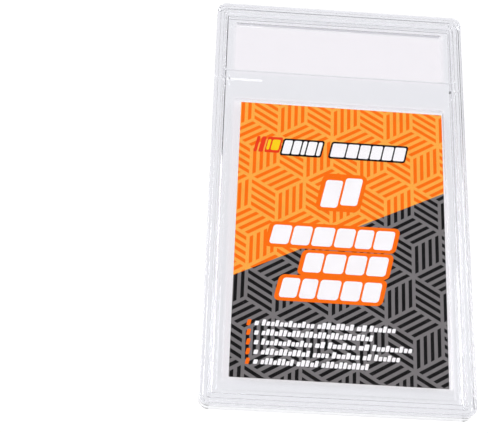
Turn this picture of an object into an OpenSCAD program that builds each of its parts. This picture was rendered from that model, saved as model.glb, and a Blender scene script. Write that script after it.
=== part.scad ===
// Graded card slab: a clear two-part holder that closes around one trading card.
// It lies on its back. Origin: centre of the back, +X to the right, +Y to the label end,
// +Z out of the front.

/* [Slab] */
// Width of the closed slab
slab_w = 79; // [78:0.5:100]
// Height of the closed slab, from the card end to the label end
slab_h = 132; // [128:0.5:170]
// Thickness of the closed slab
slab_t = 6.4; // [6:0.1:9]
// Radius of the slab's four upright corners
corner_r = 3.1; // [3:0.1:8]
// Radius that rounds the outer edges of both faces
edge_r = 0.6; // [0.2:0.1:1]

/* [Rims and bar] */
// Width of the raised rim round each face
rim_w = 2.6; // [1.8:0.1:2.6]
// Height of the rim above the window it surrounds
rim_rise = 0.7; // [0.3:0.1:0.8]
// Width of the raised bar between the label window and the card window
bar_w = 2.7; // [1.5:0.1:4]
// Distance from the label well down to the bar
bar_gap = 0.8; // [0.2:0.1:2]
// Depth of the fine notch that crosses each long rim at the foot of the bar
notch_depth = 0.3; // [0.1:0.05:0.5]

/* [Walls] */
// Width of the wall round the edge of both halves
wall_w = 3.4; // [3:0.1:4.2]
// Thickness of the rear half's plate
rear_plate_t = 1.6; // [1:0.1:1.8]
// Thickness of the front half's plate
front_plate_t = 1.7; // [1:0.1:1.8]
// Gap between the two halves where they meet
parting_gap = 0.05; // [0.02:0.01:0.1]
// Clearance between the rear half's inner frame and the front half's plate
frame_gap = 0.1; // [0.05:0.01:0.3]

/* [Tongue and groove] */
// Distance from the slab's side in to the tongue
tongue_inset = 1.3; // [1:0.1:1.6]
// Width of the tongue
tongue_w = 0.9; // [0.6:0.1:1.1]
// Height of the tongue above the meeting plane
tongue_h = 0.9; // [0.5:0.1:1.2]
// Clearance round the tongue in its groove
tongue_gap = 0.1; // [0.05:0.01:0.2]

/* [Card] */
// Width of the card
card_w = 63.5; // [50:0.1:64.5]
// Height of the card
card_h = 88.9; // [70:0.1:92]
// Thickness of the card
card_t = 0.4; // [0.25:0.05:1]
// Room beside the card in its well, on each side
card_side_room = 1.45; // [0.8:0.05:2]
// Room above and below the card in its well, at each end
card_end_room = 0.9; // [0.8:0.05:2]
// Distance that the card lies to the right of its well's middle
card_shift = 0.8; // [0:0.1:0.8]
// Turn of the card in its well, in degrees
card_turn = -0.35; // [-0.35:0.05:0.35]

/* [Wells] */
// Distance from the slab's card end to the card well
card_well_margin = 7.8; // [6:0.1:12]
// Width of the label well
label_well_w = 67.2; // [50:0.1:68]
// Height of the label well
label_well_h = 18.1; // [12:0.1:19]
// Distance from the slab's label end to the label well
label_well_margin = 5.9; // [5.6:0.1:7]
// Distance from the slab's side in to the frame that stands round both wells
frame_inset = 5; // [4.6:0.1:5.4]
// Radius of the corners of both wells
well_r = 0.8; // [0.3:0.1:2]

/* [Hidden] */
$fn = 96;

OVER = 1;            // how far a cutter runs past the surface it cuts
LAP = 0.4;           // how far joined shapes of one half run into each other
FOOT_R = 0.5;        // corner radius at the foot of a window
CLEAR = [0.86, 0.87, 0.91, 0.4];
PRINT = [0.97, 0.5, 0.13];

parting_z = slab_t / 2;
rear_top_z = parting_z - parting_gap / 2;
front_low_z = parting_z + parting_gap / 2;
rear_floor_z = rim_rise + rear_plate_t;
front_face_z = slab_t - rim_rise;
front_ceiling_z = front_face_z - front_plate_t;
frame_top_z = front_ceiling_z - frame_gap;
window_inset = rim_w + rim_rise;

card_well_w = card_w + 2 * card_side_room;
card_well_h = card_h + 2 * card_end_room;
card_well_y = card_well_margin + card_well_h / 2 - slab_h / 2;
label_well_y = slab_h / 2 - label_well_margin - label_well_h / 2;
bar_top_y = label_well_y - label_well_h / 2 - bar_gap;
bar_low_y = bar_top_y - bar_w;

// Rectangle with round corners, centred
module rounded_rect(w, h, r) {
    square([w - 2 * r, h], center = true);
    square([w, h - 2 * r], center = true);
    for (x = [-1, 1], y = [-1, 1])
        translate([x * (w / 2 - r), y * (h / 2 - r)]) circle(r);
}

// Plate that keeps a constant distance from the slab's outline, between two heights
module inset_plate(inset, low, high) {
    translate([0, 0, low]) linear_extrude(high - low)
        rounded_rect(slab_w - 2 * inset, slab_h - 2 * inset, max(corner_r - inset, FOOT_R));
}

// Carries a profile round a rounded rectangle: x is the distance from a corner's centre, y the height
module sweep_round(w, h, r) {
    for (k = [0:3]) {
        across = k % 2 == 0 ? w : h;
        along = k % 2 == 0 ? h : w;
        rotate(90 * k) translate([across / 2 - r, along / 2 - r, 0]) {
            rotate([90, 0, 0]) linear_extrude(along - 2 * r) children();
            rotate_extrude(angle = 90) children();
        }
    }
}

// Band round the slab's edge, between two distances in from its side and two heights
module edge_band(near, far, low, high) {
    sweep_round(slab_w, slab_h, corner_r)
        translate([corner_r - far, low]) square([far - near, high - low]);
}

// One half from its outer face up to its meeting plane, with its outer edge rounded and a hollow
// above its plate that leaves the wall standing round it
module tray(height, floor_z) {
    difference() {
        union() {
            inset_plate(edge_r + LAP / 2, 0, height);
            sweep_round(slab_w, slab_h, corner_r) {
                translate([corner_r - edge_r - LAP, 0]) square([LAP, height]);
                translate([corner_r - edge_r - LAP, edge_r]) square([edge_r + LAP, height - edge_r]);
                translate([corner_r - edge_r, edge_r]) circle(edge_r);
            }
        }
        inset_plate(wall_w, floor_z, height + OVER);
    }
}

// Cutter for a window with sloping sides: the size is taken at its floor
module window_cut(w, h, floor_z) {
    rise = rim_rise + OVER;
    translate([0, 0, floor_z]) {
        linear_extrude(rise) rounded_rect(w, h, FOOT_R);
        sweep_round(w, h, FOOT_R)
            polygon([[0, 0], [FOOT_R, 0], [FOOT_R + rise, rise], [0, rise]]);
    }
}

// Cutter for a well with upright sides
module well_cut(w, h, y) {
    translate([0, y, rear_floor_z]) linear_extrude(slab_t) rounded_rect(w, h, well_r);
}

module rear_shell() color(CLEAR) {
    difference() {
        tray(rear_top_z, rear_floor_z);
        mirror([0, 0, 1])
            window_cut(slab_w - 2 * window_inset, slab_h - 2 * window_inset, -rim_rise);
    }
    edge_band(tongue_inset, tongue_inset + tongue_w, rear_top_z - LAP, parting_z + tongue_h);
    difference() {
        inset_plate(frame_inset, rear_floor_z - LAP, frame_top_z);
        well_cut(card_well_w, card_well_h, card_well_y);
        well_cut(label_well_w, label_well_h, label_well_y);
    }
}

// Cutter for one front window, from its low edge to its high edge at the top of its slopes
module front_window_cut(low_y, high_y) {
    translate([0, (low_y + high_y) / 2, 0])
        window_cut(slab_w - 2 * window_inset, high_y - low_y - 2 * rim_rise, front_face_z);
}

module rim_notch() {
    translate([0, bar_low_y, slab_t]) rotate([0, 90, 0])
        linear_extrude(slab_w + 2 * OVER, center = true)
            polygon([[notch_depth, 0], [-OVER, notch_depth + OVER], [-OVER, -notch_depth - OVER]]);
}

module front_shell() color(CLEAR) {
    difference() {
        translate([0, 0, slab_t]) mirror([0, 0, 1])
            tray(slab_t - front_low_z, slab_t - front_ceiling_z);
        front_window_cut(bar_top_y, slab_h / 2 - rim_w);
        front_window_cut(rim_w - slab_h / 2, bar_low_y);
        edge_band(tongue_inset - tongue_gap, tongue_inset + tongue_w + tongue_gap,
                  front_low_z - OVER, parting_z + tongue_h + tongue_gap);
        difference() {
            rim_notch();
            cube([slab_w - 2 * rim_w, slab_h, 3 * slab_t], center = true);
        }
    }
}

module insert_card() color(PRINT) {
    translate([card_shift, card_well_y, rear_floor_z]) rotate(card_turn)
        translate([-card_w / 2, -card_h / 2, 0]) cube([card_w, card_h, card_t]);
}

rear_shell();
front_shell();
insert_card();
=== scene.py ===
"""Graded card slab: two clear moulded halves closed around one printed insert card.

The CAD frame says where every part is. This script gives each half a softened, moulded
surface, prints the card, and lights the slab on a pale table. Sizes are in millimetres
until a finished mesh is brought to metres.
"""

from __future__ import annotations

import logging
import math
from collections.abc import Iterable, Sequence
from dataclasses import dataclass, field
from enum import Enum

import bmesh
import bpy
from mathutils import Matrix, Vector


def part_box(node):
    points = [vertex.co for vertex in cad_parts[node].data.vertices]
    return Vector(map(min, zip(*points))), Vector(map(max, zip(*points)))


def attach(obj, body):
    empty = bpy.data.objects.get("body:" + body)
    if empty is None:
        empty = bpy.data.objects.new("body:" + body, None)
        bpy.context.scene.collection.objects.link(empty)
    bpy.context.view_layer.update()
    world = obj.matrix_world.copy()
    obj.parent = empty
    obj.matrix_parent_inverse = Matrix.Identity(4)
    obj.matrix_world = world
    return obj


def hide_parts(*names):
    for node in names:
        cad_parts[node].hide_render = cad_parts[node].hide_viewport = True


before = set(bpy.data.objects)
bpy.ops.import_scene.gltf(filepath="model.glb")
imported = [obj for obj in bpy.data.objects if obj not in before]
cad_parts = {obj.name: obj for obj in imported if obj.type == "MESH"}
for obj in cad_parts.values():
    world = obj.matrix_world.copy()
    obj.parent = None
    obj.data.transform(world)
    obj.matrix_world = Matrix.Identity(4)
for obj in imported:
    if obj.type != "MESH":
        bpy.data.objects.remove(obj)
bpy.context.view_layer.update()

MM = 0.001
LOG = logging.getLogger("card_slab")

Colour = tuple[float, float, float]
Socket = bpy.types.NodeSocket
Ring = list[bmesh.types.BMVert]

PURE_WHITE: Colour = (1.0, 1.0, 1.0)
SOFT_SPECULAR = 0.1
SMOOTH_ANGLE = math.radians(35)


def box_mm(node: str) -> tuple[Vector, Vector]:
    """Gives a CAD node's lowest and highest corners in millimetres.

    Args:
        node: The node's name.

    Returns:
        The lowest and the highest corner.
    """
    low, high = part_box(node)
    return low / MM, high / MM


def linear(red: int, green: int, blue: int) -> Colour:
    """Turns a colour as a screen shows it into the light that it stands for.

    Args:
        red: Red, from 0 to 255.
        green: Green, from 0 to 255.
        blue: Blue, from 0 to 255.

    Returns:
        The colour in linear light.
    """
    shares = (value / 255 for value in (red, green, blue))
    return tuple(s / 12.92 if s <= 0.04045 else ((s + 0.055) / 1.055) ** 2.4 for s in shares)


# Shader graphs


class Graph:
    """A node tree with one way to add a node."""

    def __init__(self, tree: bpy.types.NodeTree) -> None:
        """Takes over a tree and empties it."""
        self.tree = tree
        self.tree.nodes.clear()

    def node(
        self, kind: str, settings: dict | None = None, sockets: dict | None = None
    ) -> bpy.types.Node:
        """Adds a node, with its settings made before its sockets are filled.

        Args:
            kind: The node's type.
            settings: Properties of the node. "stops" holds a ramp's (position, colour) pairs.
            sockets: Values or links for its inputs, by name or number.

        Returns:
            The node.
        """
        node = self.tree.nodes.new(kind)
        for key, value in (settings or {}).items():
            if key == "stops":
                self._set_stops(node.color_ramp, value)
            else:
                setattr(node, key, value)
        for key, value in (sockets or {}).items():
            socket = node.inputs[key]
            if isinstance(value, Value):
                self.tree.links.new(value.socket, socket)
            elif isinstance(value, Socket):
                self.tree.links.new(value, socket)
            else:
                socket.default_value = value
        return node

    @staticmethod
    def _set_stops(ramp: bpy.types.ColorRamp, stops: Sequence[tuple[float, Colour]]) -> None:
        """Gives a ramp its stops."""
        while len(ramp.elements) < len(stops):
            ramp.elements.new(1.0)
        for element, (position, colour) in zip(ramp.elements, stops, strict=True):
            element.position = position
            element.color = (*colour, 1.0)

    def value(self, kind: str, settings: dict | None = None, sockets: dict | None = None) -> Value:
        """Adds a node and wraps its first output as a number."""
        return Value(self, self.node(kind, settings, sockets).outputs[0])

    def mix(self, share: Value | float, first: object, second: object) -> Socket:
        """Mixes two colours.

        Args:
            share: How much of the second colour there is.
            first: A colour or a colour socket.
            second: A colour or a colour socket.

        Returns:
            The mixed colour's socket.
        """
        colours = [(*c, 1.0) if isinstance(c, tuple) else c for c in (first, second)]
        node = self.node(
            "ShaderNodeMix",
            {"data_type": "RGBA"},
            {"Factor": share, 6: colours[0], 7: colours[1]},
        )
        return node.outputs[2]

    def ramp(self, value: Value, low: float, high: float) -> Value:
        """Rises smoothly from 0 to 1 as a value goes from low to high."""
        return self.value(
            "ShaderNodeMapRange",
            {"interpolation_type": "SMOOTHSTEP"},
            {"Value": value, "From Min": low, "From Max": high},
        )

    def noise(self, place: object, scale: float, detail: float = 2.0, stretch: float = 0.5) -> Value:
        """Adds a noise pattern, its scale counted per metre."""
        return self.value(
            "ShaderNodeTexNoise",
            {"noise_dimensions": "3D"},
            {"Vector": place, "Scale": scale, "Detail": detail, "Roughness": stretch},
        )


class Value:
    """A number on a socket, so that shader maths reads as a sum."""

    def __init__(self, graph: Graph, socket: Socket) -> None:
        """Wraps a socket of a graph."""
        self.graph = graph
        self.socket = socket

    def math(self, operation: str, *others: Value | float) -> Value:
        """Adds a Math node with this value first."""
        sockets = dict(enumerate((self, *others)))
        return self.graph.value("ShaderNodeMath", {"operation": operation}, sockets)

    def __add__(self, other: Value | float) -> Value:
        """Adds."""
        return self.math("ADD", other)

    __radd__ = __add__

    def __sub__(self, other: Value | float) -> Value:
        """Subtracts."""
        return self.math("SUBTRACT", other)

    def __rsub__(self, other: float) -> Value:
        """Subtracts this value from a number."""
        return self.math("MULTIPLY_ADD", -1.0, other)

    def __mul__(self, other: Value | float) -> Value:
        """Multiplies."""
        return self.math("MULTIPLY", other)

    __rmul__ = __mul__

    def __truediv__(self, other: Value | float) -> Value:
        """Divides."""
        return self.math("DIVIDE", other)

    def __abs__(self) -> Value:
        """Takes the value without its sign."""
        return self.math("ABSOLUTE")

    def at_most(self, other: Value | float) -> Value:
        """Takes the smaller of two values."""
        return self.math("MINIMUM", other)

    def below(self, other: Value | float) -> Value:
        """Gives 1 where this value is below the other, and 0 elsewhere."""
        return self.math("LESS_THAN", other)

    def floor(self) -> Value:
        """Rounds down."""
        return self.math("FLOOR")

    def every(self, count: float) -> Value:
        """Gives what is left over after whole counts, never negative."""
        return self.math("FLOORED_MODULO", count)

    def off_line(self) -> Value:
        """Gives the distance to the nearest whole number."""
        return abs(self - self.math("ROUND"))


@dataclass(frozen=True)
class Finish:
    """A surface finish. Each kind fills the same plain material in its own way."""

    name: str

    def material(self) -> bpy.types.Material:
        """Makes the material, or gives the one already made."""
        found = bpy.data.materials.get(self.name)
        if found is not None:
            return found
        made = bpy.data.materials.new(self.name)
        made.use_nodes = True
        graph = Graph(made.node_tree)
        output = graph.node("ShaderNodeOutputMaterial")
        graph.tree.links.new(self.surface(graph), output.inputs["Surface"])
        return made

    def surface(self, graph: Graph) -> Socket:
        """Builds the finish's shader."""
        raise NotImplementedError


@dataclass(frozen=True)
class ClearPlastic(Finish):
    """Clear polystyrene, moulded in polished steel: almost flat, with slow waves from the flow."""

    tint: Colour = (0.955, 0.944, 0.962)
    # Painted shade: the frame outside the wells is tinted darker than the wells.
    thick_painted_shade: Colour = (0.907, 0.91, 0.928)
    wells: tuple[tuple[float, float, float], ...] = ()
    well_soft: float = 0.8
    # Painted shade: a dark line along the sharp upper edge of the bar.
    step_painted_shade: Colour = (0.62, 0.62, 0.65)
    step_y: float = 0.0
    step_half_w: float = 0.0
    step_low_z: float = 0.0
    step_w: float = 0.5
    shadow_tint: Colour = (0.997, 0.994, 1.0)
    refraction: float = 1.35
    smooth: float = 0.0
    hazy: float = 0.02
    haze_from: float = 0.35
    haze_to: float = 0.8
    flow_scale: float = 40.0
    flow_depth: float = 0.000003
    polish_scale: float = 400.0
    polish_depth: float = 0.0000001

    def surface(self, graph: Graph) -> Socket:
        """Builds clear plastic that lets the lamps' light through to what it holds.

        Args:
            graph: The material's graph.

        Returns:
            The shader's socket.
        """
        place = graph.node("ShaderNodeTexCoord").outputs["Object"]
        flow = graph.noise(place, self.flow_scale, 1.0)
        polish = graph.noise(place, self.polish_scale, 3.0)
        patches = graph.noise(place, self.flow_scale * 2, 4.0)
        haze = graph.ramp(patches, self.haze_from, self.haze_to)
        waves = graph.node(
            "ShaderNodeBump", {}, {"Distance": self.flow_depth, "Height": flow}
        ).outputs[0]
        fine = graph.node(
            "ShaderNodeBump",
            {},
            {"Distance": self.polish_depth, "Height": polish, "Normal": waves},
        ).outputs[0]
        body = graph.node(
            "ShaderNodeBsdfPrincipled",
            {},
            {
                "Base Color": self._painted_shade_colour(graph, place),
                "Roughness": haze * (self.hazy - self.smooth) + self.smooth,
                "IOR": self.refraction,
                "Transmission Weight": 1.0,
                "Normal": fine,
            },
        ).outputs[0]
        clear = graph.node("ShaderNodeBsdfTransparent", {}, {"Color": (*self.shadow_tint, 1.0)})
        path = graph.node("ShaderNodeLightPath")
        for lit in (path.outputs["Is Diffuse Ray"], path.outputs["Is Shadow Ray"]):
            mixed = graph.node("ShaderNodeMixShader", {}, {0: lit, 1: body, 2: clear.outputs[0]})
            body = mixed.outputs[0]
        return body

    def _painted_shade_colour(self, graph: Graph, place: Socket) -> Socket:
        """Paints shade into the plastic's colour: a darker tint on the thick frame outside the wells,
        and the darkest painted shade in a line along the sharp upper edge of the bar.

        Args:
            graph: The material's graph.
            place: The object coordinates' socket.

        Returns:
            The colour's socket.
        """
        parts = graph.node("ShaderNodeSeparateXYZ", {}, {0: place}).outputs
        x, y, z = (Value(graph, part) / MM for part in parts)
        # The wells keep the plain tint; the frame round them gets the painted shade.
        thin: Value | float = 0.0
        for half_w, half_h, centre_y in self.wells:
            inward = (half_w - abs(x)).at_most(half_h - abs(y - centre_y))
            thin = graph.ramp(inward, -self.well_soft, self.well_soft) + thin
        # Mask of the painted shade line along the bar's upper edge, above a set height only.
        across = graph.ramp(self.step_half_w - abs(x), 0.0, self.step_w)
        along = graph.ramp(self.step_w - abs(y - self.step_y), 0.0, self.step_w)
        step = across * along * graph.ramp(z - self.step_low_z, 0.0, self.step_w)
        # Lays the painted shade line over the painted frame shade and the plain tint.
        return graph.mix(step, graph.mix(thin, self.thick_painted_shade, self.tint), self.step_painted_shade)


@dataclass(frozen=True)
class Paper(Finish):
    """Coated card stock: a satin sheet with a faint tooth."""

    colour: Colour = (0.9, 0.9, 0.88)
    roughness: float = 0.45
    tooth_scale: float = 9000.0
    tooth_depth: float = 0.000004
    mottle_scale: float = 260.0
    mottle: float = 0.03
    mottle_tint: Colour = (0.94, 0.92, 0.9)
    tooth_roughness: float = 0.1

    def ink(self, graph: Graph, place: Socket) -> object:
        """Gives the colour that lies on the sheet."""
        return self.colour

    def surface(self, graph: Graph) -> Socket:
        """Builds the sheet: its ink, a slight mottle in it, and the tooth of the stock.

        Args:
            graph: The material's graph.

        Returns:
            The shader's socket.
        """
        place = graph.node("ShaderNodeTexCoord").outputs["Object"]
        mottle = graph.noise(place, self.mottle_scale, 4.0)
        tooth = graph.noise(place, self.tooth_scale, 2.0)
        dull = tuple(c * (1 - self.mottle) for c in self.mottle_tint)
        shade = graph.mix(mottle, PURE_WHITE, dull)
        colour = self.ink(graph, place)
        inked = graph.node(
            "ShaderNodeMix",
            {"data_type": "RGBA", "blend_type": "MULTIPLY"},
            {"Factor": 1.0, 6: (*colour, 1.0) if isinstance(colour, tuple) else colour, 7: shade},
        ).outputs[2]
        bump = graph.node("ShaderNodeBump", {}, {"Distance": self.tooth_depth, "Height": tooth})
        return graph.node(
            "ShaderNodeBsdfPrincipled",
            {},
            {
                "Base Color": inked,
                "Roughness": tooth * self.tooth_roughness + self.roughness,
                "Specular IOR Level": SOFT_SPECULAR,
                "Normal": bump.outputs[0],
            },
        ).outputs[0]


@dataclass(frozen=True)
class LitTable(Finish):
    """A milky sheet lit softly from below, so that shadows on it stay light."""

    colour: Colour = (0.28, 0.28, 0.28)
    glow: float = 0.76
    roughness: float = 0.8
    grain_scale: float = 500.0
    grain: float = 0.01

    def surface(self, graph: Graph) -> Socket:
        """Builds the sheet, with a faint grain.

        Args:
            graph: The material's graph.

        Returns:
            The shader's socket.
        """
        place = graph.node("ShaderNodeTexCoord").outputs["Object"]
        grain = graph.noise(place, self.grain_scale, 3.0)
        duller = tuple(c * (1 - self.grain) for c in self.colour)
        return graph.node(
            "ShaderNodeBsdfPrincipled",
            {},
            {
                "Base Color": graph.mix(grain, self.colour, duller),
                "Roughness": self.roughness,
                "Specular IOR Level": SOFT_SPECULAR,
                "Emission Color": (*PURE_WHITE, 1.0),
                "Emission Strength": self.glow,
            },
        ).outputs[0]


@dataclass(frozen=True)
class BlockHatch(Paper):
    """Printed face: rows of blocks drawn by stripes, in two inks on each side of a slanted split."""

    bright: Colour = linear(255, 113, 0)
    bright_ground: Colour = linear(255, 174, 70)
    dark: Colour = linear(2, 1, 2)
    dark_ground: Colour = linear(121, 119, 119)
    centre: tuple[float, float] = (0.0, 0.0)
    turn: float = 0.0
    block_w: float = 8.3
    block_h: float = 9.8
    block_at: tuple[float, float] = (-19.55, 43.35)
    stripes: int = 4
    stripe_share: float = 0.5
    border: float = 0.06
    border_soft: float = 0.004
    soft: float = 0.03
    split_height: float = 1.85
    split_slope: float = 0.485
    split_soft: float = 0.03

    def ink(self, graph: Graph, place: Socket) -> object:
        """Draws the hatch in the card's own millimetres, measured from its centre.

        Args:
            graph: The material's graph.
            place: The object coordinates' socket.

        Returns:
            The colour's socket.
        """
        card = graph.node(
            "ShaderNodeMapping",
            {"vector_type": "TEXTURE"},
            {
                "Vector": place,
                "Location": (self.centre[0] * MM, self.centre[1] * MM, 0.0),
                "Rotation": (0.0, 0.0, self.turn),
                "Scale": (MM, MM, MM),
            },
        ).outputs[0]
        parts = graph.node("ShaderNodeSeparateXYZ", {}, {0: card}).outputs
        x, y = Value(graph, parts[0]), Value(graph, parts[1])
        across = (x - self.block_at[0]) / self.block_w
        up = (y - self.block_at[1]) / self.block_h
        stripe = self._stripes(graph, across, up)
        above_split = y - (x * self.split_slope + self.split_height)
        is_bright = graph.ramp(above_split, -self.split_soft, self.split_soft)
        bright = graph.mix(stripe, self.bright_ground, self.bright)
        dark = graph.mix(stripe, self.dark_ground, self.dark)
        return graph.mix(is_bright, dark, bright)

    def _stripes(self, graph: Graph, across: Value, up: Value) -> Value:
        """Picks the face of a block that a point is on, and draws that face's stripes.

        Args:
            graph: The material's graph.
            across: Position across from a block's middle, in half widths.
            up: Position up from a block's middle, in upright edges.

        Returns:
            1 on a stripe and 0 between stripes.
        """
        rise, fall = up - across * 0.5, up + across * 0.5
        faces = (
            ((rise.floor() + fall.floor()).every(3).below(0.5), rise, fall),
            ((across.floor() - rise.floor() - 1).every(3).below(0.5), across, rise),
            ((across.floor() + fall.floor() - 1).every(3).below(0.5), fall, across),
        )
        low = (1 - self.stripe_share) / 2
        drawn = None
        for chosen, along, end in faces:
            off_gap = (along * self.stripes).off_line()
            line = graph.ramp(off_gap, low - self.soft, low + self.soft)
            near, far = self.border - self.border_soft, self.border + self.border_soft
            face = chosen * line * graph.ramp(end.off_line(), near, far)
            drawn = face if drawn is None else drawn + face
        return drawn


# Outlines and skins


@dataclass(frozen=True)
class Outline:
    """A rectangle with round corners, lying flat, in millimetres."""

    half_w: float
    half_h: float
    radius: float
    centre_y: float = 0.0
    least_radius: float = 0.5

    def inset(self, distance: float) -> Outline:
        """Gives the outline a constant distance further in, or out when it is negative."""
        return Outline(
            self.half_w - distance,
            self.half_h - distance,
            max(self.radius - distance, self.least_radius),
            self.centre_y,
            self.least_radius,
        )

    def point(self, number: int, corner_steps: int, height: float) -> Vector:
        """Gives one point of the outline, counted anticlockwise from the right side.

        Args:
            number: The point's number.
            corner_steps: How many steps each corner's arc has.
            height: Height of the outline.

        Returns:
            The point.
        """
        quarter, step = divmod(number, corner_steps + 1)
        angle = math.radians(90) * (quarter + step / corner_steps)
        side_x = 1 if quarter in (0, 3) else -1
        side_y = 1 if quarter in (0, 1) else -1
        return Vector(
            (
                side_x * (self.half_w - self.radius) + self.radius * math.cos(angle),
                side_y * (self.half_h - self.radius) + self.radius * math.sin(angle) + self.centre_y,
                height,
            )
        )


@dataclass(frozen=True)
class Turn:
    """A corner of a section: its distance in from the outline, its height, and its softening."""

    inset: float
    height: float
    radius: float = 0.0


def softened(turns: Sequence[Turn], steps: int = 4) -> list[tuple[float, float]]:
    """Rounds the corners of a section.

    Args:
        turns: The section's corners. The first and the last are its ends.
        steps: How many steps each round has.

    Returns:
        The section's points, as inset and height.
    """
    points = [(turns[0].inset, turns[0].height)]
    for before, here, after in zip(turns, turns[1:], turns[2:]):
        corner = Vector((here.inset, here.height))
        back = (Vector((before.inset, before.height)) - corner).normalized()
        ahead = (Vector((after.inset, after.height)) - corner).normalized()
        between = back.angle(ahead)
        start = corner + back * here.radius / math.tan(between / 2)
        middle = corner + (back + ahead).normalized() * here.radius / math.sin(between / 2)
        sweep = math.copysign(math.pi - between, -back.cross(ahead))
        for step in range(steps + 1):
            turned = Matrix.Rotation(sweep * step / steps, 2) @ (start - middle)
            points.append(tuple(middle + turned))
    points.append((turns[-1].inset, turns[-1].height))
    return points


class Skin:
    """A closed skin that grows ring by ring along rounded rectangles."""

    CORNER_STEPS = 14

    def __init__(self) -> None:
        """Starts with nothing."""
        self.mesh = bmesh.new()

    def ring(self, outline: Outline, height: float) -> Ring:
        """Lays a new ring on an outline.

        Args:
            outline: The outline that it follows.
            height: Its height.

        Returns:
            The ring's vertices in order.
        """
        count = 4 * (self.CORNER_STEPS + 1)
        ring = bmesh.ops.create_circle(self.mesh, segments=count, radius=1.0)["verts"]
        self._place(ring, outline, height)
        return ring

    def _place(self, ring: Ring, outline: Outline, height: float) -> None:
        """Moves a ring's vertices onto an outline."""
        for number, vert in enumerate(ring):
            vert.co = outline.point(number, self.CORNER_STEPS, height)

    def grow(
        self, ring: Ring, outline: Outline, section: Sequence[Turn]
    ) -> Ring:
        """Draws a ring along a section, leaving a strip of skin behind it.

        Args:
            ring: The ring to start from, which lies on the section's first point.
            outline: The outline that the section's insets are measured from.
            section: The section's corners.

        Returns:
            The last ring.
        """
        for inset, height in softened(section)[1:]:
            edges = self._edges(ring)
            fresh = bmesh.ops.extrude_edge_only(self.mesh, edges=edges)["geom"]
            new = {v for v in fresh if isinstance(v, bmesh.types.BMVert)}
            ring = [
                next(e.other_vert(v) for e in v.link_edges if e.other_vert(v) in new) for v in ring
            ]
            self._place(ring, outline.inset(inset), height)
        return ring

    def _edges(self, ring: Ring) -> list[bmesh.types.BMEdge]:
        """Finds the edges that join a ring's vertices."""
        pairs = zip(ring, [*ring[1:], ring[0]], strict=True)
        return [self.mesh.edges.get(pair) for pair in pairs]

    def cap(self, ring: Ring) -> None:
        """Closes a ring with one flat face."""
        bmesh.ops.contextual_create(self.mesh, geom=self._edges(ring))

    def fill(self, *rings: Ring) -> None:
        """Closes the flat space between an outer ring and the rings inside it."""
        edges = [edge for ring in rings for edge in self._edges(ring)]
        bmesh.ops.triangle_fill(self.mesh, use_beauty=True, edges=edges, normal=(0, 0, 1))

    def finish(self, name: str, finish: Finish) -> bpy.types.Object:
        """Turns the skin into a finished object in metres.

        Args:
            name: The object's name.
            finish: Its surface finish.

        Returns:
            The object.
        """
        bmesh.ops.recalc_face_normals(self.mesh, faces=self.mesh.faces)
        return finished(self.mesh, name, [finish])


def finished(mesh: bmesh.types.BMesh, name: str, finishes: Sequence[Finish]) -> bpy.types.Object:
    """Makes an object at the origin from a mesh in millimetres.

    Args:
        mesh: The mesh, which is used up.
        name: The object's name.
        finishes: The finishes of its material slots.

    Returns:
        The object, smooth where its faces turn gently.
    """
    bmesh.ops.scale(mesh, vec=(MM, MM, MM), verts=mesh.verts)
    for face in mesh.faces:
        face.smooth = True
    data = bpy.data.meshes.new(name)
    mesh.to_mesh(data)
    mesh.free()
    data.set_sharp_from_angle(angle=SMOOTH_ANGLE)
    piece = bpy.data.objects.new(name, data)
    bpy.context.scene.collection.objects.link(piece)
    for finish in finishes:
        data.materials.append(finish.material())
    flat = piece.modifiers.new("flat_faces", "WEIGHTED_NORMAL")
    flat.keep_sharp = True
    return piece


class Part(Enum):
    """A part that moves by itself: its body and its material slot in the frame."""

    REAR = ("rear_half", "rear_plastic")
    FRONT = ("front_half", "front_plastic")
    CARD = ("card", "printed_card")


def report(piece: bpy.types.Object, part: Part, replaced: Iterable[str] = ()) -> None:
    """Hands a piece to the frame and writes it to the log.

    Args:
        piece: The finished piece.
        part: The part that it belongs to.
        replaced: The CAD nodes that it stands for.
    """
    body, slot = part.value
    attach(piece, body)
    if replaced:
        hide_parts(*replaced)
    LOG.info("%s rides on %s, %d faces", piece.name, body, len(piece.data.polygons))


# The slab's two halves


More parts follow.
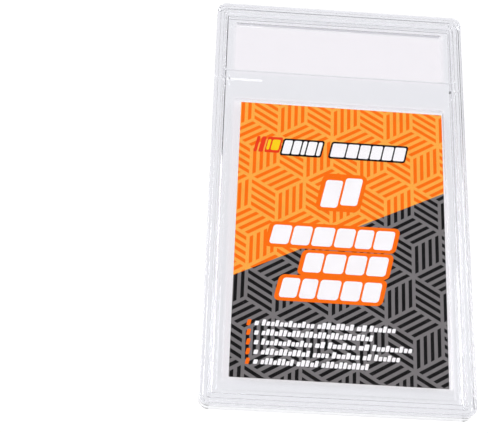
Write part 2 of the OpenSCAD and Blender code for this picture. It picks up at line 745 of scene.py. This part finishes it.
@dataclass
class Slab:
    """Sizes that both halves share. The overall ones come from the frame."""

    corner_r: float = 3.1
    edge_r: float = 0.6
    rear_edge_r: float = 0.2
    rim_w: float = 2.6
    rim_rise: float = 0.7
    rim_top_r: float = 0.22
    rim_foot_r: float = 0.25
    wall_w: float = 3.4
    wall_draft: float = 0.3
    parting_gap: float = 0.05
    parting_r: float = 0.12
    tongue_inset: float = 1.3
    tongue_w: float = 0.9
    tongue_h: float = 0.9
    tongue_gap: float = 0.1
    tongue_r: float = 0.12
    tongue_foot_r: float = 0.05
    groove_mouth_r: float = 0.08
    groove_foot_r: float = 0.05
    fillet_r: float = 0.25
    bar_w: float = 2.7
    bar_gap: float = 0.8
    well_corner_r: float = 0.8
    card_well: tuple[float, float, float] = (66.4, 90.7, 7.8)
    label_well: tuple[float, float, float] = (67.2, 18.1, 5.9)
    width: float = field(init=False)
    height: float = field(init=False)
    thickness: float = field(init=False)

    def __post_init__(self) -> None:
        """Measures the closed slab."""
        rear_low, _ = box_mm("rear_shell")
        _, front_high = box_mm("front_shell")
        self.width, self.height, self.thickness = front_high - rear_low

    @property
    def outline(self) -> Outline:
        """The slab's outline."""
        return Outline(self.width / 2, self.height / 2, self.corner_r)

    @property
    def window_foot(self) -> float:
        """How far in from the slab's side a window's flat floor starts."""
        return self.rim_w + self.rim_rise

    @property
    def bar_top_y(self) -> float:
        """Where the upper edge of the bar is, up from the slab's middle."""
        _, label_h, margin = self.label_well
        return self.height / 2 - margin - label_h - self.bar_gap

    def wells(self) -> list[Outline]:
        """Places the card well and the label well.

        Returns:
            Their outlines.
        """
        card_w, card_h, card_margin = self.card_well
        label_w, label_h, label_margin = self.label_well
        half = self.height / 2
        return [
            Outline(card_w / 2, card_h / 2, self.well_corner_r, card_margin + card_h / 2 - half),
            Outline(label_w / 2, label_h / 2, self.well_corner_r, half - label_margin - label_h / 2),
        ]

    def plastic(self) -> ClearPlastic:
        """Gives the plastic of both halves, with painted shade on the thick frame and along the bar's
        upper edge.

        Returns:
            The finish.
        """
        return ClearPlastic(
            "clear_plastic",
            wells=tuple((w.half_w, w.half_h, w.centre_y) for w in self.wells()),
            step_y=self.bar_top_y,
            step_half_w=self.width / 2 - self.window_foot,
            step_low_z=self.thickness - 2 * self.rim_rise,
        )


@dataclass
class RearShell:
    """The half that holds the card: back plate, wall, tongue, and a frame round the two wells."""

    slab: Slab
    finish: Finish
    plate_t: float = 1.6
    frame_inset: float = 5.0
    frame_top_z: float = 3.9
    frame_r: float = 0.2
    frame_edge_r: float = 0.12
    mouth_lead: float = 0.4
    well_foot_r: float = 0.2
    card_draft: float = 0.2
    label_draft: float = 0.6

    def build(self) -> bpy.types.Object:
        """Builds the half as one closed skin, from its back window round to its wells.

        Returns:
            The finished shell.
        """
        slab, skin = self.slab, Skin()
        floor_z = slab.rim_rise + self.plate_t
        top_z = slab.thickness / 2 - slab.parting_gap / 2
        tongue_z = slab.thickness / 2 + slab.tongue_h
        tongue_far = slab.tongue_inset + slab.tongue_w
        start = slab.window_foot + 2 * slab.rim_foot_r
        ring = skin.ring(slab.outline.inset(start), slab.rim_rise)
        skin.cap(ring)
        section = [
            Turn(start, slab.rim_rise),
            Turn(slab.window_foot, slab.rim_rise, slab.rim_foot_r),
            Turn(slab.rim_w, 0.0, slab.rim_top_r),
            Turn(0.0, 0.0, slab.rear_edge_r),
            Turn(0.0, top_z, slab.parting_r),
            Turn(slab.tongue_inset, top_z, slab.tongue_foot_r),
            Turn(slab.tongue_inset, tongue_z, slab.tongue_r),
            Turn(tongue_far, tongue_z, slab.tongue_r),
            Turn(tongue_far, top_z, slab.tongue_foot_r),
            Turn(slab.wall_w, top_z, slab.parting_r),
            Turn(slab.wall_w + slab.wall_draft, floor_z, slab.fillet_r),
            Turn(self.frame_inset - slab.wall_draft, floor_z, slab.fillet_r),
            Turn(self.frame_inset, self.frame_top_z, self.frame_edge_r),
            Turn(self.frame_inset + 2 * self.frame_edge_r, self.frame_top_z),
        ]
        frame_top = skin.grow(ring, slab.outline, section)
        drafts = (self.card_draft, self.label_draft)
        mouths = [
            self._sink_well(skin, well, draft, floor_z)
            for well, draft in zip(slab.wells(), drafts, strict=True)
        ]
        skin.fill(frame_top, *mouths)
        return skin.finish("rear_shell_clear", self.finish)

    def _sink_well(
        self, skin: Skin, well: Outline, draft: float, floor_z: float
    ) -> Ring:
        """Adds one well, open at the frame's top.

        Args:
            skin: The skin that it belongs to.
            well: The well's outline at its mouth.
            draft: How far its walls lean in from the mouth to the floor.
            floor_z: Height of its floor.

        Returns:
            The ring round its mouth.
        """
        mouth = skin.ring(well.inset(-self.mouth_lead), self.frame_top_z)
        section = [
            Turn(-self.mouth_lead, self.frame_top_z),
            Turn(0.0, self.frame_top_z, self.frame_r),
            Turn(draft, floor_z, self.well_foot_r),
            Turn(draft + 2 * self.well_foot_r, floor_z),
        ]
        skin.cap(skin.grow(mouth, well, section))
        return mouth


@dataclass
class FrontShell:
    """The half that closes the slab: front plate with two windows, wall, and groove."""

    slab: Slab
    finish: Finish
    plate_t: float = 1.7
    window_corner_r: float = 1.2
    notch_depth: float = 0.3
    hair: float = 0.001

    def windows(self) -> list[Outline]:
        """Places the label window and the card window, each at the top of its slopes.

        Returns:
            Their outlines.
        """
        half_w = self.slab.width / 2 - self.slab.rim_w
        edge = self.slab.height / 2 - self.slab.rim_w
        bar_top, bar_low = self.slab.bar_top_y, self.slab.bar_top_y - self.slab.bar_w
        spans = ((bar_top, edge), (-edge, bar_low))
        return [
            Outline(half_w, (high - low) / 2, self.window_corner_r, (high + low) / 2)
            for low, high in spans
        ]

    def build(self) -> bpy.types.Object:
        """Builds the half as one closed skin, from its rim down round its wall and up to its ceiling.

        Returns:
            The finished shell.
        """
        slab, skin = self.slab, Skin()
        low_z = slab.thickness / 2 + slab.parting_gap / 2
        ceiling_z = slab.thickness - slab.rim_rise - self.plate_t
        groove_z = slab.thickness / 2 + slab.tongue_h + slab.tongue_gap
        groove_near = slab.tongue_inset - slab.tongue_gap
        groove_far = slab.tongue_inset + slab.tongue_w + slab.tongue_gap
        rim = skin.ring(slab.outline.inset(2 * slab.edge_r), slab.thickness)
        section = [
            Turn(2 * slab.edge_r, slab.thickness),
            Turn(0.0, slab.thickness, slab.edge_r),
            Turn(0.0, low_z, slab.parting_r),
            Turn(groove_near, low_z, slab.groove_mouth_r),
            Turn(groove_near, groove_z, slab.groove_foot_r),
            Turn(groove_far, groove_z, slab.groove_foot_r),
            Turn(groove_far, low_z, slab.groove_mouth_r),
            Turn(slab.wall_w, low_z, slab.parting_r),
            Turn(slab.wall_w + slab.wall_draft, ceiling_z, slab.fillet_r),
            Turn(slab.wall_w + slab.wall_draft + 2 * slab.fillet_r, ceiling_z),
        ]
        skin.cap(skin.grow(rim, slab.outline, section))
        skin.fill(rim, *[self._open_window(skin, window) for window in self.windows()])
        self._cut_notch(skin)
        return skin.finish("front_shell_clear", self.finish)

    def _open_window(self, skin: Skin, window: Outline) -> Ring:
        """Adds one window's slopes and floor.

        Args:
            skin: The skin that it belongs to.
            window: The window's outline at the top of its slopes.

        Returns:
            The ring round its top.
        """
        slab = self.slab
        lead = 2 * slab.rim_top_r
        top = skin.ring(window.inset(-lead), slab.thickness)
        floor_z = slab.thickness - slab.rim_rise
        section = [
            Turn(-lead, slab.thickness),
            Turn(0.0, slab.thickness, slab.rim_top_r),
            Turn(slab.rim_rise, floor_z, slab.rim_foot_r),
            Turn(slab.rim_rise + 2 * slab.rim_foot_r, floor_z),
        ]
        skin.cap(skin.grow(top, window, section))
        return top

    def _cut_notch(self, skin: Skin) -> None:
        """Presses the fine notch across both long rims, at the foot of the bar."""
        notch_y = self.slab.bar_top_y - self.slab.bar_w
        for shift in (-self.notch_depth, self.notch_depth, 0.0):
            bmesh.ops.bisect_plane(
                skin.mesh,
                geom=[*skin.mesh.verts, *skin.mesh.edges, *skin.mesh.faces],
                plane_co=(0, notch_y + shift, 0),
                plane_no=(0, 1, 0),
                dist=self.hair / 10,
            )
        inner = self.slab.width / 2 - self.slab.rim_w
        bottom = self.slab.thickness - self.notch_depth
        for vert in skin.mesh.verts:
            on_line = abs(vert.co.y - notch_y) < self.hair
            if on_line and abs(vert.co.x) > inner and vert.co.z > bottom:
                vert.co.z = bottom


# The insert card


@dataclass(frozen=True)
class Row:
    """A row of printed blocks, measured across and down from the card's upper left corner."""

    x: float
    y: float
    gap: float
    widths: tuple[float, ...]

    @property
    def length(self) -> float:
        """Its length, with its gaps."""
        return sum(self.widths) + self.gap * (len(self.widths) - 1)


@dataclass
class Mark:
    """A flat printed mark: slanted blocks of ink with round corners, in the card's own millimetres."""

    name: str
    finish: Finish
    lift: float
    slant: float = 0.22
    film: float = 0.01
    corner_steps: int = 5
    stroke_pitch: float = 1.25
    stroke_gap: float = 0.28
    stroke_r: float = 0.22
    low_share: float = 0.7
    mesh: bmesh.types.BMesh = field(default_factory=bmesh.new)

    def block(self, x: float, y: float, w: float, h: float, radius: float) -> None:
        """Adds one slanted block.

        Args:
            x: Its middle, across from the card's left side.
            y: Its middle, down from the card's top.
            w: Its width.
            h: Its height.
            radius: Radius of its corners.
        """
        part = bmesh.new()
        bmesh.ops.create_grid(part, x_segments=1, y_segments=1, size=0.5)
        bmesh.ops.scale(part, vec=(w, h, 1), verts=part.verts)
        bmesh.ops.bevel(
            part,
            geom=part.verts,
            offset=radius,
            affect="VERTICES",
            segments=self.corner_steps,
            profile=0.5,
            material=-1,
        )
        lean = Matrix.Identity(4)
        lean[0][1] = self.slant
        card = InsertCard
        place = Matrix.Translation((x - card.WIDTH / 2, card.HEIGHT / 2 - y, self.lift))
        bmesh.ops.transform(part, matrix=place @ lean, verts=part.verts)
        kept = bpy.data.meshes.new("block")
        part.to_mesh(kept)
        part.free()
        self.mesh.from_mesh(kept)
        bpy.data.meshes.remove(kept)

    def row(self, row: Row, h: float, radius: float) -> None:
        """Adds a row of blocks side by side.

        Args:
            row: Where the row is, and its blocks' widths.
            h: Their height.
            radius: Radius of their corners.
        """
        x = row.x
        for width in row.widths:
            self.block(x + width / 2, row.y, width, h, radius)
            x += width + row.gap

    def plate(self, row: Row, margin: float, h: float, radius: float) -> None:
        """Adds one block that reaches past both ends of a row.

        Args:
            row: The row that it lies behind.
            margin: How far past each end it reaches.
            h: Its height.
            radius: Radius of its corners.
        """
        self.block(row.x + row.length / 2, row.y, row.length + 2 * margin, h, radius)

    def word(self, x: float, y: float, width: float, tall: float = 1.9) -> float:
        """Adds a run of small blocks, as long as a short or a long word.

        Args:
            x: The run's left side.
            y: Its middle, down from the card's top.
            width: Its length.
            tall: Height of its tallest blocks.

        Returns:
            The run's right side.
        """
        count = max(round(width / self.stroke_pitch), 1)
        part = (width + self.stroke_gap) / count - self.stroke_gap
        low = self.low_share * tall
        heights = (tall, low, low)
        for number in range(count):
            height = heights[(number * number + count) % len(heights)]
            self.block(x + part / 2, y + (low - height) / 2, part, height, self.stroke_r)
            x += part + self.stroke_gap
        return x - self.stroke_gap

    def build(self, placing: Matrix) -> bpy.types.Object:
        """Gives the blocks the thickness of a film of ink and lays them on the card.

        Args:
            placing: Where the card's centre is, and how it is turned.

        Returns:
            The finished mark.
        """
        grown = bmesh.ops.extrude_face_region(self.mesh, geom=list(self.mesh.faces))["geom"]
        raised = [v for v in grown if isinstance(v, bmesh.types.BMVert)]
        bmesh.ops.translate(self.mesh, vec=(0, 0, self.film), verts=raised)
        bmesh.ops.transform(self.mesh, matrix=placing, verts=self.mesh.verts)
        bmesh.ops.recalc_face_normals(self.mesh, faces=self.mesh.faces)
        return finished(self.mesh, self.name, [self.finish])


@dataclass
class InsertCard:
    """The printed card that lies in the slab's larger well."""

    WIDTH = 63.5
    HEIGHT = 88.9
    TITLE_ROWS = (
        Row(10.9, 44.1, 0.62, (5.7, 5.6, 6.2, 5.6, 5.0, 5.7)),
        Row(20.9, 52.6, 0.66, (5.5, 6.0, 5.6, 5.8)),
        Row(14.2, 60.9, 0.66, (5.2, 4.7, 6.2, 5.6, 5.2)),
    )
    BADGE_ROWS = (
        Row(13.7, 14.8, 0.45, (2.5, 2.4, 1.2, 2.7, 1.2)),
        Row(28.7, 14.8, 0.45, (4.4, 3.4, 3.2, 3.3, 3.0, 3.4)),
    )
    EMBLEM_BARS = Row(5.0, 14.3, 0.5, (1.0, 1.4, 4.6))
    EMBLEM_BLOCKS = Row(8.7, 14.3, 0.5, (0.9, 2.4))
    LINE_WORDS = (
        (1.2, 15.2, 10.6, 2.8, 7.6),
        (1.2, 32.4),
        (1.2, 14.6, 2.8, 8.0, 3.0, 11.6),
        (1.2, 14.0, 4.6, 8.0, 2.4, 7.4),
        (1.2, 9.4, 6.2, 13.6),
    )

    stock: Finish
    white: Finish = Paper("ink_white", colour=PURE_WHITE)
    orange: Finish = Paper("ink_orange", colour=BlockHatch.bright)
    black: Finish = Paper("ink_black", colour=BlockHatch.dark)
    yellow: Finish = Paper("ink_yellow", colour=linear(255, 214, 20))
    orange_red: Finish = Paper("ink_orange_red", colour=linear(240, 60, 20))
    over: float = 0.03
    turn_degrees: float = -0.35
    edge_r: float = 0.03
    corner_r: float = 0.25
    lines_x: float = 6.9
    lines_y: float = 72.4
    line_step: float = 2.9
    word_gap: float = 0.95

    def placing(self) -> Matrix:
        """Gives the card's place, from its centre at the height of its face."""
        low, high = box_mm("insert_card")
        middle = (low + high) / 2
        turn = Matrix.Rotation(math.radians(self.turn_degrees), 4, "Z")
        return Matrix.Translation((middle.x, middle.y, high.z)) @ turn

    def build_stock(self) -> bpy.types.Object:
        """Builds the sheet, printed on its face and plain on its edges and back.

        Returns:
            The finished sheet.
        """
        low, high = box_mm("insert_card")
        place = self.placing()
        mesh = bmesh.new()
        bmesh.ops.create_grid(mesh, x_segments=1, y_segments=1, size=0.5)
        bmesh.ops.scale(mesh, vec=(self.WIDTH, self.HEIGHT, 1), verts=mesh.verts)
        bmesh.ops.bevel(
            mesh,
            geom=mesh.verts,
            offset=self.corner_r,
            affect="VERTICES",
            segments=5,
            profile=0.5,
            material=-1,
        )
        grown = bmesh.ops.extrude_face_region(mesh, geom=list(mesh.faces))["geom"]
        raised = [v for v in grown if isinstance(v, bmesh.types.BMVert)]
        bmesh.ops.translate(mesh, vec=(0, 0, low.z - high.z), verts=raised)
        rims = [e for e in mesh.edges if abs(e.verts[0].co.z - e.verts[1].co.z) < self.edge_r]
        bmesh.ops.bevel(
            mesh,
            geom=rims,
            offset=self.edge_r,
            affect="EDGES",
            segments=2,
            profile=0.5,
            material=-1,
        )
        bmesh.ops.recalc_face_normals(mesh, faces=mesh.faces)
        for face in mesh.faces:
            face.material_index = int(face.normal.z > 0.9)
        bmesh.ops.transform(mesh, matrix=place, verts=mesh.verts)
        printed = BlockHatch(
            "printed_hatch",
            centre=(place.translation.x, place.translation.y),
            turn=math.radians(self.turn_degrees),
        )
        return finished(mesh, "insert_card_stock", [self.stock, printed])

    def marks(self) -> list[Mark]:
        """Draws the plain marks that fill the card's face.

        Returns:
            The marks, lowest ink first in each pair.
        """
        return [*self._title(), *self._sheets(), *self._badge(), *self._emblem(), *self._lines()]

    def _title(self) -> list[Mark]:
        """Draws three rows of large blocks, each on a plate."""
        plates = Mark("title_ground", self.orange, 0.0)
        blocks = Mark("title_blocks", self.white, self.over)
        for row in self.TITLE_ROWS:
            plates.plate(row, margin=1.35, h=8.3, radius=1.7)
            blocks.row(row, h=6.2, radius=0.9)
        return [plates, blocks]

    def _sheets(self) -> list[Mark]:
        """Draws two plain sheets side by side on a plate."""
        plate = Mark("sheets_ground", self.orange, 0.0)
        sheets = Mark("sheets_blocks", self.white, self.over)
        plate.block(x=31.9, y=29.2, w=13.8, h=12.6, radius=2.2)
        sheets.block(x=28.9, y=29.7, w=5.2, h=9.2, radius=0.8)
        sheets.block(x=35.0, y=28.7, w=5.2, h=9.2, radius=0.8)
        return [plate, sheets]

    def _badge(self) -> list[Mark]:
        """Draws two rows of blocks with a dark edge round each."""
        edge = Mark("badge_edge", self.black, 0.0)
        blocks = Mark("badge_blocks", self.white, self.over)
        for row in self.BADGE_ROWS:
            edge.plate(row, margin=0.55, h=5.9, radius=0.8)
            blocks.row(row, h=4.7, radius=0.45)
        return [edge, blocks]

    def _emblem(self) -> list[Mark]:
        """Draws a few plain bars beside the badge, the last one filled with two blocks."""
        bars = Mark("emblem_edge", self.orange_red, 0.0)
        blocks = Mark("emblem_blocks", self.yellow, self.over)
        bars.row(self.EMBLEM_BARS, h=5.4, radius=0.45)
        blocks.row(self.EMBLEM_BLOCKS, h=3.6, radius=0.4)
        return [bars, blocks]

    def _lines(self) -> list[Mark]:
        """Draws five fine lines of small blocks, each with a tick before it."""
        lines = Mark("small_lines", self.white, 0.0, corner_steps=2)
        ticks = Mark("line_ticks", self.orange, 0.0)
        for number, widths in enumerate(self.LINE_WORDS):
            y, x = self.lines_y + self.line_step * number, self.lines_x
            for width in widths:
                x = lines.word(x, y, width) + self.word_gap
            ticks.block(x=5.2, y=y - 0.1, w=1.1, h=1.9, radius=0.35)
        return [lines, ticks]


# The studio


@dataclass(frozen=True)
class Lamp:
    """A soft rectangular lamp that points at the slab. Its sizes are in metres and watts."""

    name: str
    place: tuple[float, float, float]
    size: tuple[float, float]
    power: float

    def hang(self) -> None:
        """Adds the lamp."""
        data = bpy.data.lights.new(self.name, "AREA")
        data.shape = "RECTANGLE"
        data.size, data.size_y = self.size
        data.energy = self.power
        light = bpy.data.objects.new(self.name, data)
        bpy.context.scene.collection.objects.link(light)
        place = Vector(self.place)
        turn = (-place).to_track_quat("-Z", "Y")
        light.matrix_world = Matrix.Translation(place) @ turn.to_matrix().to_4x4()


@dataclass(frozen=True)
class Studio:
    """A pale table, three lamps, a softly lit room, and a camera above the slab's lower left."""

    table: Finish = LitTable("table_white")
    table_size: float = 3.0
    table_drop: float = 0.00003
    lens: float = 88.9
    sensor: float = 36.0
    eye: tuple[float, float, float] = (-46.3, -151.4, 335.3)
    ahead: tuple[float, float, float] = (0.0492, 0.3976, -0.9163)
    up: tuple[float, float, float] = (-0.0577, 0.9170, 0.3948)
    lamps: tuple[Lamp, ...] = (
        Lamp("left", (-1.2, 0.4, 1.1), (0.7, 0.7), 13.5),
        Lamp("right", (1.2, 0.2, 1.1), (0.7, 0.7), 13.0),
        Lamp("front", (-0.05, -1.4, 0.8), (0.24, 0.24), 1.5),
    )
    room_low: Colour = (0.86, 0.86, 0.88)
    room_high: Colour = (0.5, 0.5, 0.52)
    flag: Colour = (0.1, 0.1, 0.105)
    bounces: int = 40

    def build(self) -> None:
        """Sets up the whole studio."""
        self._lay_table()
        self._set_camera()
        for lamp in self.lamps:
            lamp.hang()
        self._light_room()

    def _lay_table(self) -> None:
        """Lays a wide pale table just under the slab."""
        mesh = bmesh.new()
        bmesh.ops.create_grid(mesh, x_segments=1, y_segments=1, size=self.table_size / 2 / MM)
        bmesh.ops.translate(mesh, vec=(0, 0, -self.table_drop / MM), verts=mesh.verts)
        finished(mesh, "table", [self.table])

    def _set_camera(self) -> None:
        """Sets the camera, which leans a little to the left."""
        data = bpy.data.cameras.new("camera")
        data.lens, data.sensor_width = self.lens, self.sensor
        eye = bpy.data.objects.new("camera", data)
        bpy.context.scene.collection.objects.link(eye)
        ahead = Vector(self.ahead).normalized()
        right = ahead.cross(Vector(self.up)).normalized()
        turn = Matrix((right, right.cross(ahead), -ahead)).transposed().to_4x4()
        eye.matrix_world = Matrix.Translation(Vector(self.eye) * MM) @ turn
        data.clip_start = 0.01
        data.clip_end = 20.0
        bpy.context.scene.camera = eye

    def _light_room(self) -> None:
        """Fills the room with light, with a dark flag hung where the slab's face would mirror it."""
        world = bpy.data.worlds.new("studio")
        world.use_nodes = True
        bpy.context.scene.world = world
        graph = Graph(world.node_tree)
        place = graph.node("ShaderNodeTexCoord").outputs["Generated"]
        across, along, down = self.ahead
        towards = graph.node(
            "ShaderNodeVectorMath", {"operation": "DOT_PRODUCT"}, {0: place, 1: (across, along, -down)}
        )
        to_flag = Value(graph, towards.outputs["Value"])
        height = Value(graph, graph.node("ShaderNodeSeparateXYZ", {}, {0: place}).outputs[2])
        room = graph.mix(graph.ramp(height, 0.05, 0.45), self.room_low, self.room_high)
        colour = graph.mix(graph.ramp(to_flag, 0.9, 0.965), room, self.flag)
        light = graph.node("ShaderNodeBackground", {}, {"Color": colour, "Strength": 1.0})
        output = graph.node("ShaderNodeOutputWorld")
        graph.tree.links.new(light.outputs[0], output.inputs[0])
        scene = bpy.context.scene
        scene.view_settings.view_transform = "Standard"
        scene.cycles.max_bounces = self.bounces
        scene.cycles.transmission_bounces = self.bounces
        scene.cycles.transparent_max_bounces = self.bounces


def main() -> None:
    """Builds the slab, the card and the studio."""
    logging.basicConfig(level=logging.INFO, format="%(name)s: %(message)s")
    slab = Slab()
    clear = slab.plastic()
    report(RearShell(slab, clear).build(), Part.REAR, ["rear_shell"])
    report(FrontShell(slab, clear).build(), Part.FRONT, ["front_shell"])
    card = InsertCard(Paper("card_core"))
    report(card.build_stock(), Part.CARD, ["insert_card"])
    for mark in card.marks():
        report(mark.build(card.placing()), Part.CARD)
    Studio().build()


if __name__ == "__main__":
    main()
